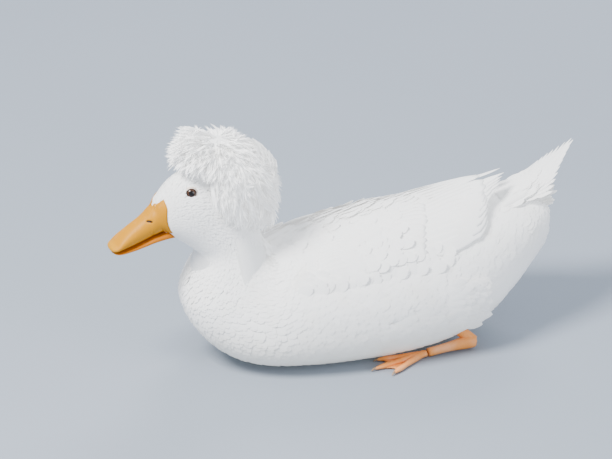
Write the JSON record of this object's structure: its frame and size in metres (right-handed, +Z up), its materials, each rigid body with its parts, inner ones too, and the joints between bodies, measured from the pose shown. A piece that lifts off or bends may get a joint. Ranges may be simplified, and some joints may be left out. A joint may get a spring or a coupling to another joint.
{
  "type": "crested duck model",
  "caption": "Life-size white crested duck at rest, afloat pose, with a pompom crest, folded wings, raised pointed tail and feet tucked under its belly.",
  "frame": {"origin": "on the floor, at the middle of the duck's length and width", "axes": "+Z up; -Y the way the bill points and +Y towards the tail; +X the duck's left side"},
  "size_m": [0.1976, 0.5162, 0.2672],
  "materials": {
    "plumage": "white feathers, soft and matte, with a faint cream tint low on the body",
    "bill": "orange-yellow horn, smooth, with a slight waxy shine and a few pink spots",
    "eye": "very dark brown, wet gloss",
    "foot_skin": "orange scaly skin, slightly rough"
  },
  "bodies": {
    "root": {"torso": "plumage", "neck": "plumage", "head": "plumage", "crest": "plumage", "bill_upper": "bill", "bill_lower": "bill", "eye_left": "eye", "eye_right": "eye", "wing_left": "plumage", "wing_right": "plumage", "tail": "plumage", "leg_left": "foot_skin", "leg_right": "foot_skin", "foot_left": "foot_skin", "foot_right": "foot_skin"}
  },
  "joints": []
}
